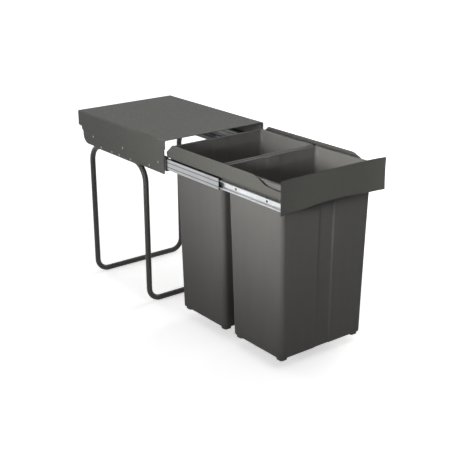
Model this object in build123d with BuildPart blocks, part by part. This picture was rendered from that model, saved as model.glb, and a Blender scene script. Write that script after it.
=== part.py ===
from build123d import *
import os

# A pull-out bin frame for the floor of a narrow base cabinet, drawn with its drawer pulled open.
# X runs across the cabinet, Y towards its back and Z up. All lengths are in millimetres.
# The origin is on the floor, at the centre of the four floor screws.

# Sheet and tube
cover_sheet = 0.8
frame_sheet = 1.2
rail_sheet = 1.0
cage_sheet = 0.4
tube_diameter = 12.0
tube_sides = 12
small_sides = 8
sheet_bend = 1.0
rail_bend = 0.3
touch_gap = 0.2
overrun = 5.0

# Cover
cover_width = 251.0
cover_depth = 346.0
cover_top = 379.4
cover_bend = 2.2
cover_rear_overhang = 41.0
cover_front_overhang = 87.0
skirt_height = 45.1
skirt_rise_length = 76.0
skirt_rise_mid_length = 26.0
skirt_rise_mid_height = 9.0
skirt_rise_height = 12.7
skirt_lip_height = 18.4
skirt_lip_setback = 5.5
skirt_lip_round = 2.5
skirt_lip_corner = 2.5

# Bent leg tubes
tube_top = 316.3
lower_bend = 27.0
upper_bend = 40.5
tube_joint_setback = 4.0
floor_screw_inset = 37.5
floor_screw_hole = 4.5

# Side plates
plate_foot_drop = 6.8
plate_front_setback = 5.0
plate_rear_setback = 12.0
plate_flange = 11.5
plate_heel_radius = 20.0
plate_toe_radius = 3.0
plate_nub_depth = 6.0
plate_nub_rise = 25.5
plate_nub_height = 5.0
plate_sight_hole = 3.2
plate_sight_hole_setback = 120.0
plate_drain_hole = 3.6
plate_drain_hole_setback = 61.5
plate_drain_hole_height = 6.5

# Slides
slide_travel = 340.0
slide_width = 10.0
outer_rail_height = 28.0
middle_rail_height = 22.0
inner_rail_height = 15.0
outer_rail_depth = 8.3
outer_rail_lip = 1.0
middle_rail_depth = 6.8
middle_rail_gap = 0.8
inner_rail_depth = 6.5
outer_rail_front_setback = 0.5
outer_rail_length = 327.0
middle_rail_length = 324.0
inner_rail_length = 330.0
outer_groove_depth = 0.5
outer_groove_half = 1.2
outer_groove_shoulder = 0.7
inner_groove_depth = 0.5
inner_groove_half = 0.9
inner_groove_shoulder = 0.6
ball_diameter = 2.4
ball_play = 0.05
ball_line_inset = 5.6
cage_length = 144.0
cage_window_play = 0.15
balls_per_row = 2
ball_facet_share = 0.293
outer_cage_lead = 5.0
inner_cage_lead = 4.5
stop_length = 2.7

# Drawer side panels
panel_length = 347.3
panel_play = 1.5
panel_height = 28.8
panel_web_gap = 1.0
panel_flange_drop = 1.0
panel_flange_setback = 2.0
panel_nose_top = 21.5
panel_nose_tip_height = 11.0
panel_nose_heel = 1.5
panel_nose_heel_height = 3.0
panel_nose_bottom = 14.0
panel_nose_round = 2.0
panel_dip_start = 73.0
panel_dip_end = 40.0
panel_dip = 13.2
panel_dip_front = 15.0
panel_dip_round = 30.0

# Front plate
front_side_reach = 0.95
front_top = 380.5
front_height = 62.1
front_sheet = 2.0
front_sweep_width = 43.45
front_sweep = 4.5
front_arch = 3.8
front_arch_flat_half = 34.0
front_arch_end_half = 76.0
front_arch_round = 150.0
front_weld_gap = 0.2

# Cross bars
bar_height = 21.0
bar_drop = 1.5
bar_tab = 10.0

# Bins
bin_pitch = 170.2
bin_collar_height = 21.8
bin_collar_length = 167.0
bin_front_gap = 4.4
bin_side_play = 5.0
bin_rim_land = 6.4
bin_side_overhang = 4.0
bin_end_overhang = 6.9
bin_side_taper = 9.5
bin_end_taper = 4.2
bin_bottom = 26.5
bin_wall = 2.0
bin_corner = 9.5
bin_heel = 2.5
bin_rim_edge = 1.0
bin_groove_width = 38.0
bin_groove_depth = 3.0
bin_groove_slope = 2.5
bin_foot_height = 6.0
bin_foot_length = 17.0
bin_foot_inset = 1.5

# Rivets and screws
rivet_head = 5.0
rivet_shank = 2.6
rivet_head_height = 0.8
rivet_crown_share = 0.7
rivet_play = 0.05
rail_rivet_setbacks = (27.5, 162.0, 284.0)
tube_rivet_offsets = (14.75, 59.5)
tube_rivet_rise = 2.0
tube_rivet_grip = 2.0
rail_screw_setbacks = (45.8, 134.3, 222.8, 311.3)

# Places worked out from the sizes above
leg_spacing = cover_depth - cover_rear_overhang - cover_front_overhang
cover_rear = leg_spacing / 2 + cover_rear_overhang
cover_front = cover_rear - cover_depth
skirt_bottom = cover_top - skirt_height
plate_outer = cover_width / 2 - cover_sheet
plate_inner = plate_outer - frame_sheet
plate_top = cover_top - cover_sheet
plate_bottom = tube_top - plate_foot_drop
plate_front = cover_front + plate_front_setback
plate_rear = cover_rear - plate_rear_setback
tube_radius = tube_diameter / 2
tube_line = plate_inner - tube_radius
tube_joint = -tube_joint_setback
tube_turn = 360 / tube_sides / 2
floor_screw_spacing = 2 * (tube_line - floor_screw_inset)
rivet_hole = rivet_shank + 2 * rivet_play
rail_middle = tube_top + touch_gap + outer_rail_height / 2
rail_inner = plate_inner - slide_width
outer_rail_front = cover_front + outer_rail_front_setback
panel_flange_line = rail_inner - frame_sheet / 2
panel_web_line = rail_middle + outer_rail_height / 2 + panel_web_gap + frame_sheet / 2
panel_web_top = panel_web_line + frame_sheet / 2
panel_web_bottom = panel_web_line - frame_sheet / 2
panel_band_line = plate_inner - panel_play - frame_sheet / 2
panel_top = panel_web_bottom + panel_height
panel_rear = cover_front
panel_front = panel_rear - panel_length
front_line = panel_front - front_sheet / 2
front_width = cover_width + 2 * front_side_reach
front_flat_half = front_width / 2 - front_sweep_width
ball_line = plate_inner - ball_line_inset
outer_ball_height = outer_rail_height / 2 - rail_sheet - ball_play - ball_diameter / 2
inner_ball_height = middle_rail_height / 2 - outer_groove_depth - rail_sheet - ball_play - ball_diameter / 2
bin_top = panel_web_top + bin_collar_height
bin_collar_width = 2 * (panel_band_line - frame_sheet / 2 - bin_side_play)
bin_mouth_length = bin_collar_length - 2 * bin_rim_land
bin_mouth_width = bin_collar_width - 2 * bin_rim_land
bin_top_length = bin_collar_length - 2 * bin_end_overhang
bin_top_width = bin_collar_width - 2 * bin_side_overhang
bin_bottom_length = bin_top_length - 2 * bin_end_taper
bin_bottom_width = bin_top_width - 2 * bin_side_taper
front_bin_middle = panel_front + bin_front_gap + bin_collar_length / 2
rear_bin_middle = front_bin_middle + bin_pitch

os.makedirs("parts", exist_ok=True)


def hand_in(piece, name):
    """Name a finished piece and write it as a STEP file."""
    piece.label = name
    export_step(piece, "parts/" + name + ".step")


def hand_in_pair(piece, name):
    """Write a right-hand piece, and its mirror image for the left side."""
    with BuildPart() as left_piece:
        mirror(piece, about=Plane.YZ)
    hand_in(piece, "right_" + name)
    hand_in(left_piece.part, "left_" + name)


def bent_section(points, sheet, bend, sharp_ends=0):
    """Return the end view of a folded sheet whose middle line runs through the points.

    At each end of the line, as many corners as sharp_ends says stay sharp.
    """
    rounded = len(points) - 2 - 2 * sharp_ends
    radii = [0] * sharp_ends + [bend + sheet / 2] * rounded + [0] * sharp_ends
    with BuildSketch() as section:
        with BuildLine():
            FilletPolyline(*points, radius=radii)
        trace(line_width=sheet)
    return section.sketch


def channel_points(half_profile):
    """Return the points of a channel from those of its upper half, counted from the lip to the web."""
    upper = [(x, rail_middle + height) for x, height in half_profile]
    lower = [(x, rail_middle - height) for x, height in reversed(half_profile)]
    return upper + lower


# Leg tubes: two like tubes, each bent four times, that meet end to end under the side plates. Their
# ends close each other, so the bores are left solid, and their round section has flat facets.
def leg_tube(leg_y):
    """Return one leg tube, whose floor bar and two legs stand at leg_y."""
    with BuildPart() as tube:
        with BuildLine() as half_route:
            FilletPolyline(
                (0, leg_y, tube_radius),
                (tube_line, leg_y, tube_radius),
                (tube_line, leg_y, tube_top - tube_radius),
                (tube_line, tube_joint, tube_top - tube_radius),
                radius=[lower_bend, upper_bend],
            )
        with BuildSketch(Plane.YZ):
            with Locations((leg_y, tube_radius)):
                RegularPolygon(tube_radius, tube_sides, major_radius=False, rotation=tube_turn)
        sweep(path=half_route.line)
        with BuildSketch(Plane.YZ.offset(plate_inner)):
            with Locations(*tube_rivet_places()):
                RegularPolygon(rivet_hole / 2, small_sides)
        extrude(amount=-tube_rivet_grip, mode=Mode.SUBTRACT)
        mirror(about=Plane.YZ)
        with BuildSketch(Plane.XY):
            with Locations((0, leg_y)):
                with GridLocations(floor_screw_spacing, 0, 2, 1):
                    Circle(floor_screw_hole / 2)
        extrude(amount=tube_diameter, mode=Mode.SUBTRACT)
    return tube.part


def tube_rivet_places():
    """Return the side-view places of the rivets that hold both tubes to a side plate."""
    height = tube_top - tube_radius + tube_rivet_rise
    return [(tube_joint + side * offset, height) for offset in tube_rivet_offsets for side in (-1, 1)]


def rail_rivet_places():
    """Return the side-view places of the rivets that hold an outer rail to a side plate."""
    return [(cover_front + setback, rail_middle) for setback in rail_rivet_setbacks]


def rail_screw_places():
    """Return the side-view places of the screws that hold a drawer panel to an inner rail."""
    return [(panel_front + setback, rail_middle) for setback in rail_screw_setbacks]


hand_in(leg_tube(-leg_spacing / 2), "front_leg_tube")
hand_in(leg_tube(leg_spacing / 2), "rear_leg_tube")

# Cover: one sheet folded down at both sides, open at its front and rear
with BuildPart() as cover:
    skirt_line = cover_width / 2 - cover_sheet / 2
    with BuildSketch(Plane.XZ.offset(-cover_rear)):
        add(
            bent_section(
                [
                    (-skirt_line, skirt_bottom),
                    (-skirt_line, cover_top - cover_sheet / 2),
                    (skirt_line, cover_top - cover_sheet / 2),
                    (skirt_line, skirt_bottom),
                ],
                cover_sheet,
                cover_bend,
            )
        )
    extrude(amount=cover_depth)
    with BuildSketch(Plane.YZ):
        with BuildLine():
            rise = ThreePointArc(
                (cover_rear - skirt_rise_length, skirt_bottom),
                (cover_rear - skirt_rise_mid_length, skirt_bottom + skirt_rise_mid_height),
                (cover_rear, skirt_bottom + skirt_rise_height),
            )
            Polyline(rise @ 1, (cover_rear + overrun, skirt_bottom), rise @ 0)
        make_face()
        with BuildLine():
            FilletPolyline(
                (cover_front, cover_top - skirt_lip_height),
                (cover_front + skirt_lip_setback, cover_top - skirt_lip_height),
                (cover_front + skirt_lip_setback, skirt_bottom),
                (cover_front, skirt_bottom),
                radius=[0, skirt_lip_round, 0, 0],
                close=True,
            )
        make_face()
    extrude(amount=cover_width, both=True, mode=Mode.SUBTRACT)
    lip_edges = cover.edges().filter_by(Axis.X).group_by(Axis.Y)[0]
    lip_corners = lip_edges.group_by(Axis.Z)[0]
    fillet(lip_corners, skirt_lip_corner)
hand_in(cover.part, "cover")

# Side plates: upright sheets that carry the rails, with a top flange under the cover
with BuildPart() as side_plate:
    plate_line = plate_inner + frame_sheet / 2
    with BuildSketch(Plane.XZ.offset(-plate_rear)):
        add(
            bent_section(
                [
                    (plate_line, plate_bottom),
                    (plate_line, plate_top - frame_sheet / 2),
                    (plate_inner - plate_flange, plate_top - frame_sheet / 2),
                ],
                frame_sheet,
                sheet_bend,
            )
        )
    extrude(amount=plate_rear - plate_front)
    with BuildSketch(Plane.YZ):
        with BuildLine():
            FilletPolyline(
                (plate_rear, plate_top),
                (plate_rear, plate_bottom + plate_nub_rise + plate_nub_height),
                (plate_rear - plate_nub_depth, plate_bottom + plate_nub_rise),
                (plate_rear - plate_nub_depth, plate_bottom),
                (plate_front, plate_bottom),
                (plate_front, plate_top),
                radius=[0, 0, 0, plate_heel_radius, plate_toe_radius, 0],
                close=True,
            )
        make_face()
        with Locations(*tube_rivet_places(), *rail_rivet_places()):
            RegularPolygon(rivet_hole / 2, small_sides, mode=Mode.SUBTRACT)
        with Locations((cover_front + plate_sight_hole_setback, rail_middle)):
            RegularPolygon(plate_sight_hole / 2, small_sides, mode=Mode.SUBTRACT)
        with Locations((cover_front + plate_drain_hole_setback, plate_bottom + plate_drain_hole_height)):
            RegularPolygon(plate_drain_hole / 2, small_sides, mode=Mode.SUBTRACT)
    extrude(amount=plate_outer, mode=Mode.INTERSECT)
hand_in_pair(side_plate.part, "side_plate")


# Slide rails: three rolled channels, one inside the other, with rows of balls between them
def rail(half_profile, sheet, rear_y, length, rounded=1):
    """Return a channel of the given half profile that runs forwards from rear_y.

    In each half, as many corners as rounded says are bent round, counted from the web.
    """
    sharp_ends = len(half_profile) - 1 - rounded
    with BuildPart() as channel:
        with BuildSketch(Plane.XZ.offset(-rear_y)):
            add(bent_section(channel_points(half_profile), sheet, rail_bend, sharp_ends))
        extrude(amount=length)
    return channel.part


outer_web = plate_inner - rail_sheet / 2
outer_lip = outer_web - outer_rail_depth + rail_sheet
outer_flange = outer_rail_height / 2 - rail_sheet / 2
outer_rail_rear = outer_rail_front + outer_rail_length
with BuildPart() as outer_rail:
    add(
        rail(
            [
                (outer_lip, outer_flange - outer_rail_lip),
                (outer_lip, outer_flange),
                (outer_web, outer_flange),
            ],
            rail_sheet,
            outer_rail_rear,
            outer_rail_length,
        )
    )
    with BuildSketch(Plane.YZ.offset(plate_inner - rail_sheet)):
        with Locations(*rail_rivet_places()):
            RegularPolygon(rivet_hole / 2, small_sides)
    extrude(amount=rail_sheet, mode=Mode.SUBTRACT)
hand_in_pair(outer_rail.part, "outer_rail")

middle_web = outer_web - rail_sheet - middle_rail_gap
middle_flange = middle_rail_height / 2 - rail_sheet / 2
middle_rail_front = outer_rail_front - slide_travel / 2
with BuildPart() as middle_rail:
    add(
        rail(
            [
                (middle_web - middle_rail_depth + rail_sheet / 2, middle_flange),
                (ball_line - outer_groove_half - outer_groove_shoulder, middle_flange),
                (ball_line - outer_groove_half, middle_flange - outer_groove_depth),
                (ball_line + outer_groove_half, middle_flange - outer_groove_depth),
                (ball_line + outer_groove_half + outer_groove_shoulder, middle_flange),
                (middle_web, middle_flange),
            ],
            rail_sheet,
            middle_rail_front + middle_rail_length,
            middle_rail_length,
        )
    )
hand_in_pair(middle_rail.part, "middle_rail")

inner_web = rail_inner + rail_sheet / 2
inner_flange = inner_rail_height / 2 - rail_sheet / 2
inner_rail_rear = panel_front + inner_rail_length
with BuildPart() as inner_rail:
    add(
        rail(
            [
                (rail_inner + inner_rail_depth, inner_flange),
                (ball_line + inner_groove_half + inner_groove_shoulder, inner_flange),
                (ball_line + inner_groove_half, inner_flange - inner_groove_depth),
                (ball_line - inner_groove_half, inner_flange - inner_groove_depth),
                (ball_line - inner_groove_half - inner_groove_shoulder, inner_flange),
                (inner_web, inner_flange),
            ],
            rail_sheet,
            inner_rail_rear,
            inner_rail_length,
        )
    )
    with BuildSketch(Plane.YZ.offset(rail_inner)):
        with Locations(*rail_screw_places()):
            RegularPolygon(rivet_hole / 2, small_sides)
    extrude(amount=rail_sheet, mode=Mode.SUBTRACT)
hand_in_pair(inner_rail.part, "inner_rail")


# Ball cages: thin channels whose windows hold the balls in line. A ball is a cube with its edges cut
# back as far as its faces are wide, so that it keeps few facets.
def ball_rows(cage_front):
    """Return the places along Y of the balls of one cage."""
    pitch = cage_length / balls_per_row
    return [cage_front + pitch * (index + 1 / 2) for index in range(balls_per_row)]


def ball_cage(cage_web, flange_height, ball_height, cage_front):
    """Return a cage with a window round each ball, and the balls as a group of their own."""
    lip = ball_line - ball_diameter / 2
    window = ball_diameter + 2 * cage_window_play
    with BuildPart() as cage:
        add(
            rail(
                [(lip, flange_height), (cage_web, flange_height)],
                cage_sheet,
                cage_front + cage_length,
                cage_length,
                rounded=0,
            )
        )
        with BuildSketch(Plane.XY.offset(rail_middle)):
            with Locations(*[(ball_line, place) for place in ball_rows(cage_front)]):
                Rectangle(window, window)
        extrude(amount=outer_rail_height, both=True, mode=Mode.SUBTRACT)
    with BuildPart() as balls:
        for place in ball_rows(cage_front):
            for height in (-ball_height, ball_height):
                with Locations((ball_line, place, rail_middle + height)):
                    Box(ball_diameter, ball_diameter, ball_diameter)
        chamfer(balls.edges(), ball_facet_share * ball_diameter)
    return cage.part, balls.part


outer_cage_web = outer_web - rail_sheet / 2 - middle_rail_gap / 2
outer_cage_flange = (outer_rail_height / 2 - rail_sheet + middle_rail_height / 2) / 2
inner_cage_web = (middle_web - rail_sheet / 2 + rail_inner + inner_rail_depth) / 2
inner_cage_flange = inner_ball_height + cage_sheet / 2
outer_cage, outer_balls = ball_cage(
    outer_cage_web, outer_cage_flange, outer_ball_height, outer_rail_front + outer_cage_lead
)
inner_cage, inner_balls = ball_cage(
    inner_cage_web, inner_cage_flange, inner_ball_height, middle_rail_front + inner_cage_lead
)
hand_in_pair(outer_cage, "outer_ball_cage")
hand_in_pair(outer_balls, "outer_balls")
hand_in_pair(inner_cage, "inner_ball_cage")
hand_in_pair(inner_balls, "inner_balls")

# Rubber stops: they end the travel of the middle rails at the back
with BuildPart() as rail_stop:
    with BuildSketch(Plane.XZ.offset(-outer_rail_rear)):
        with Locations(((outer_lip + outer_web) / 2, rail_middle)):
            Rectangle(outer_web - outer_lip - rail_sheet, outer_rail_height - 2 * rail_sheet - 2 * rail_bend)
    extrude(amount=stop_length)
hand_in_pair(rail_stop.part, "rail_stop")


# Rivets and screws: a crowned head on a plain shank, both with flat facets
def fasteners(places, head_face, shank_length, towards):
    """Return a group of rivets whose heads sit on the face at x = head_face and point towards + or - X."""
    with BuildPart() as group:
        for y, z in places:
            with BuildSketch(Plane.YZ.offset(head_face)):
                with Locations((y, z)):
                    RegularPolygon(rivet_shank / 2, small_sides)
            extrude(amount=-towards * shank_length)
            with BuildSketch(Plane.YZ.offset(head_face)):
                with Locations((y, z)):
                    RegularPolygon(rivet_head / 2, small_sides)
            with BuildSketch(Plane.YZ.offset(head_face + towards * rivet_head_height)):
                with Locations((y, z)):
                    RegularPolygon(rivet_crown_share * rivet_head / 2, small_sides)
            loft(ruled=True)
    return group.part


hand_in_pair(fasteners(rail_rivet_places(), plate_outer, frame_sheet + rail_sheet, 1), "rail_rivets")
hand_in_pair(fasteners(tube_rivet_places(), plate_outer, frame_sheet + tube_rivet_grip, 1), "tube_rivets")
hand_in_pair(
    fasteners(rail_screw_places(), rail_inner + rail_sheet, rail_sheet + frame_sheet, 1), "rail_screws"
)


# Front plate: a plain sheet whose ends sweep forwards, with a shallow arch in its lower edge
def front_plan(middle):
    """Return the plan of a line that is flat at y = middle and sweeps forwards at both ends."""
    half = front_width / 2
    with BuildLine() as plan:
        flat = Line((-front_flat_half, middle), (front_flat_half, middle))
        TangentArc(flat @ 1, (half, middle - front_sweep), tangent=(1, 0))
        TangentArc(flat @ 0, (-half, middle - front_sweep), tangent=(-1, 0))
    return plan.line


with BuildPart() as front_plate:
    front_bottom = front_top - front_height
    with BuildSketch(Plane.XY.offset(front_bottom)):
        trace(front_plan(front_line), line_width=front_sheet)
    extrude(amount=front_height)
    with BuildSketch(Plane.XZ.offset(-front_line)):
        with BuildLine():
            FilletPolyline(
                (-front_arch_end_half - front_flat_half, front_bottom),
                (-front_arch_end_half, front_bottom),
                (-front_arch_flat_half, front_bottom + front_arch),
                (front_arch_flat_half, front_bottom + front_arch),
                (front_arch_end_half, front_bottom),
                (front_arch_end_half + front_flat_half, front_bottom),
                (front_arch_end_half + front_flat_half, front_bottom - overrun),
                (-front_arch_end_half - front_flat_half, front_bottom - overrun),
                radius=[0] + [front_arch_round] * 4 + [0, 0, 0],
                close=True,
            )
        make_face()
    extrude(amount=front_sweep + front_sheet, both=True, mode=Mode.SUBTRACT)
hand_in(front_plate.part, "front_plate")

# Drawer side panels: a flange on the inner rail, a step that carries the bins, and an upright band
with BuildPart() as side_panel:
    flange_bottom = rail_middle - inner_rail_height / 2 - panel_flange_drop
    band_front = panel_front - front_sweep
    plate_back = panel_front + front_weld_gap
    with BuildSketch(Plane.XZ.offset(-panel_rear)):
        add(
            bent_section(
                [
                    (panel_flange_line, flange_bottom),
                    (panel_flange_line, panel_web_line),
                    (panel_band_line, panel_web_line),
                    (panel_band_line, panel_top),
                ],
                frame_sheet,
                sheet_bend,
            )
        )
    extrude(amount=panel_rear - band_front)
    with BuildSketch(Plane.YZ):
        with BuildLine():
            FilletPolyline(
                (panel_rear - panel_flange_setback, flange_bottom),
                (panel_rear - panel_flange_setback, panel_web_bottom - sheet_bend),
                (panel_rear - panel_nose_bottom, panel_web_bottom),
                (panel_rear - panel_nose_heel, panel_web_bottom + panel_nose_heel_height),
                (panel_rear, panel_web_bottom + panel_nose_tip_height),
                (panel_rear - panel_nose_top, panel_top),
                (panel_front + panel_dip_start, panel_top),
                (panel_front + panel_dip_end, panel_top - panel_dip),
                (band_front, panel_top - panel_dip_front),
                (band_front, flange_bottom),
                radius=[0, 0, 0] + [panel_nose_round] * 3 + [panel_dip_round] * 2 + [0, 0],
                close=True,
            )
        make_face()
        with Locations(*rail_screw_places()):
            RegularPolygon(rivet_hole / 2, small_sides, mode=Mode.SUBTRACT)
    extrude(amount=plate_inner, mode=Mode.INTERSECT)
    with BuildSketch(Plane.XY.offset(flange_bottom)):
        with BuildLine():
            add(front_plan(plate_back))
            Polyline(
                (front_width / 2, plate_back - front_sweep),
                (front_width / 2, band_front - overrun),
                (-front_width / 2, band_front - overrun),
                (-front_width / 2, plate_back - front_sweep),
            )
        make_face()
    extrude(amount=front_height, mode=Mode.SUBTRACT)
hand_in_pair(side_panel.part, "side_panel")


# Cross bars: flat bars that tie the two panels together, with a tab folded along each panel
def cross_bar(bar_y, towards):
    """Return a bar whose middle line is at bar_y, with tabs that point towards + or - Y."""
    tab_line = panel_flange_line - frame_sheet
    with BuildPart() as bar:
        with BuildSketch(Plane.XY.offset(panel_web_bottom - bar_drop - bar_height)):
            add(
                bent_section(
                    [
                        (-tab_line, bar_y + towards * bar_tab),
                        (-tab_line, bar_y),
                        (tab_line, bar_y),
                        (tab_line, bar_y + towards * bar_tab),
                    ],
                    frame_sheet,
                    sheet_bend,
                )
            )
        extrude(amount=bar_height)
    return bar.part


hand_in(cross_bar(front_line + front_sheet / 2 + frame_sheet / 2, 1), "front_cross_bar")
hand_in(cross_bar(panel_rear - panel_flange_setback - frame_sheet, -1), "rear_cross_bar")


# Bins: tapered moulded boxes that hang by their collars, with a finger groove front and rear
def bin_section(length, width, corner, middle_y):
    """Return a bin's level section: a rounded rectangle with a shallow groove in its front and rear."""
    mouth = bin_groove_width / 2
    base = mouth - bin_groove_slope
    quarter = [(width / 2, length / 2), (mouth, length / 2), (base, length / 2 - bin_groove_depth)]
    rear = quarter + [(-x, y) for x, y in reversed(quarter)]
    front = [(x, -y) for x, y in reversed(rear)]
    rounds = [corner] + [0] * 4 + [corner]
    with BuildSketch() as section:
        with BuildLine():
            FilletPolyline(
                *[(x, middle_y + y) for x, y in rear + front],
                radius=rounds + rounds,
                close=True,
            )
        make_face()
    return section.sketch


def bin_box(levels, middle_y):
    """Return a solid through level sections, each given as its height, length, width and corner."""
    with BuildPart() as box:
        for height, length, width, corner in levels:
            with BuildSketch(Plane.XY.offset(height)):
                add(bin_section(length, width, corner, middle_y))
        loft(ruled=True)
    return box.part


def wall_size(bottom_size, top_size, height):
    """Return the outside size of the tapered wall at a height."""
    share = (height - bin_bottom) / (bin_top - bin_bottom)
    return bottom_size + (top_size - bottom_size) * share


def waste_bin(middle_y):
    """Return one bin whose middle is at middle_y."""
    neck = panel_web_top
    heel_height = bin_bottom + bin_heel
    floor_top = bin_bottom + bin_wall
    mouth = (bin_top, bin_mouth_length, bin_mouth_width, bin_corner - bin_wall)

    def outside(height):
        length = wall_size(bin_bottom_length, bin_top_length, height)
        width = wall_size(bin_bottom_width, bin_top_width, height)
        return length, width

    def level(height, inset):
        length, width = outside(height)
        return height, length - 2 * inset, width - 2 * inset, bin_corner - inset

    with BuildPart() as tub:
        add(bin_box([level(bin_bottom, bin_heel), level(heel_height, 0), level(bin_top, 0)], middle_y))
        with BuildSketch(Plane.XY.offset(neck)):
            add(bin_section(bin_collar_length, bin_collar_width, bin_corner, middle_y))
        extrude(amount=bin_collar_height)
        rim_edges = tub.edges().group_by(Axis.Z)[-1]
        chamfer(rim_edges, bin_rim_edge)
        hollow = bin_box([level(floor_top, bin_wall), level(neck, bin_wall), mouth], middle_y)
        add(hollow, mode=Mode.SUBTRACT)
        foot_spread_x = bin_bottom_width - 2 * bin_heel - 2 * bin_foot_inset - bin_foot_length
        foot_spread_y = bin_bottom_length - 2 * bin_heel - 2 * bin_foot_inset - bin_foot_length
        with BuildSketch(Plane.XY.offset(bin_bottom)):
            with Locations((0, middle_y)):
                with GridLocations(foot_spread_x, foot_spread_y, 2, 2):
                    Rectangle(bin_foot_length, bin_foot_length)
        extrude(amount=-bin_foot_height)
    return tub.part


hand_in(waste_bin(front_bin_middle), "front_bin")
hand_in(waste_bin(rear_bin_middle), "rear_bin")
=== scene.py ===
"""Pull-out bin frame: smooth pieces, finishes and a small studio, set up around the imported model."""

import math

import bpy
import numpy as np
from mathutils import Matrix, Vector


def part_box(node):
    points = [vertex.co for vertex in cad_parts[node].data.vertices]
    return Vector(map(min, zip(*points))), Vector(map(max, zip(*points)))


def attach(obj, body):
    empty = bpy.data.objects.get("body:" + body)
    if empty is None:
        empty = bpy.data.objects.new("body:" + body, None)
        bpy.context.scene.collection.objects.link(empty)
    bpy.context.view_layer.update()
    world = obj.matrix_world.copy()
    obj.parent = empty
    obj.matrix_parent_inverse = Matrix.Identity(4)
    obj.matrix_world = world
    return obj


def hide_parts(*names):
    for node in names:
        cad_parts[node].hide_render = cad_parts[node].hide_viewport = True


bl_info = {
    "name": "Pull-out Bin Frame",
    "version": (1, 0, 0),
    "blender": (4, 5, 0),
    "location": "3D View > Sidebar > Bin Frame",
    "description": "Builds the smooth pieces of a pull-out bin frame, finishes it and sets up its studio",
    "category": "Object",
}

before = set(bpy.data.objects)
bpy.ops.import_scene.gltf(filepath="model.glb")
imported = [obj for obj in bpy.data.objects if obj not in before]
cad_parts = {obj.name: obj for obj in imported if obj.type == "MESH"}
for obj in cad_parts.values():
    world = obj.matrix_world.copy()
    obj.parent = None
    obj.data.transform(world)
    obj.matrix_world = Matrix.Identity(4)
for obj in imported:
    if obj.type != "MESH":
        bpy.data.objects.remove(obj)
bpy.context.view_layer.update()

MM = 0.001
SHARP_ANGLE = math.radians(40)
SIDES = ("left", "right")
TUBE_ENDS = ("front", "rear")
BIN_NAMES = ("front_bin", "rear_bin")
FASTENER_FINISHES = {
    "rail_rivets": "grey_zinc_rivet",
    "tube_rivets": "grey_zinc_rivet",
    "rail_screws": "black_oxide_screw",
}
SENSOR_MILLIMETRES = 36

# Place, target, width and height in metres, power in watts, and the beam's spread in degrees. The two gridded
# boxes rake the left side, so that the bins and the legs get darker downwards.
STUDIO_MIDDLE = (0, -0.2, 0.2)
SOFTBOXES = {
    "top_softbox": ((0.2, 0.0, 2.4), STUDIO_MIDDLE, 2.0, 2.0, 10, 180),
    "front_softbox": ((-0.2, -1.8, 1.9), STUDIO_MIDDLE, 1.2, 1.2, 9, 180),
    "right_softbox": ((2.1, 0.1, 0.9), STUDIO_MIDDLE, 1.0, 0.8, 16, 180),
    "rear_softbox": ((-0.6, 1.9, 0.8), STUDIO_MIDDLE, 1.0, 0.8, 12, 180),
    "bin_gridbox": ((-1.5, -0.75, 0.67), (-0.1, -0.5, 0.43), 0.5, 0.3, 1.72, 29),
    "frame_gridbox": ((-1.3, 0.0, 0.9), (-0.12, -0.02, 0.42), 0.4, 0.3, 0.2, 35),
}


def linear(hex_colour):
    """Turn an sRGB hex colour into linear RGBA: a straight foot below 4%, and a power of 2.4 above it."""
    srgb = np.array([int(hex_colour[i : i + 2], 16) for i in (1, 3, 5)]) / 255
    rgb = np.where(srgb <= 0.04045, srgb / 12.92, ((srgb + 0.055) / 1.055) ** 2.4)
    return (*rgb.tolist(), 1.0)


def colour_property(name, hex_colour, description):
    """A colour that is written as sRGB hex and kept as a linear one."""
    return bpy.props.FloatVectorProperty(
        name=name, description=description, default=linear(hex_colour), size=4, min=0, max=1, subtype="COLOR"
    )


def length_property(name, millimetres, description):
    """A length that is written in millimetres and kept in metres."""
    return bpy.props.FloatProperty(
        name=name, description=description, default=millimetres * MM, min=0, precision=5, unit="LENGTH"
    )


def group_property(settings, name, description):
    """A group of settings inside another one."""
    return bpy.props.PointerProperty(type=settings, name=name, description=description)


def angle_property(name, degrees, description):
    """An angle that is written in degrees and kept in radians."""
    return bpy.props.FloatProperty(
        name=name, description=description, default=math.radians(degrees), subtype="ANGLE"
    )


class LegTubeSettings(bpy.types.PropertyGroup):
    """Sizes of the bent leg tubes that their packed boxes do not give."""

    diameter: length_property("Diameter", 12, "Outside diameter of the tube")
    lower_bend: length_property("Lower bend", 27, "Centreline radius of the bends at the floor")
    upper_bend: length_property("Upper bend", 40.5, "Centreline radius of the bends at the top")
    end_chamfer: length_property("End chamfer", 0.45, "Bevel on the tube ends where they meet")
    screw_spacing: length_property("Screw spacing", 160, "Spacing of the two floor screw holes of a tube")
    screw_hole: length_property("Screw hole", 4.5, "Diameter of a floor screw hole")


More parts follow.
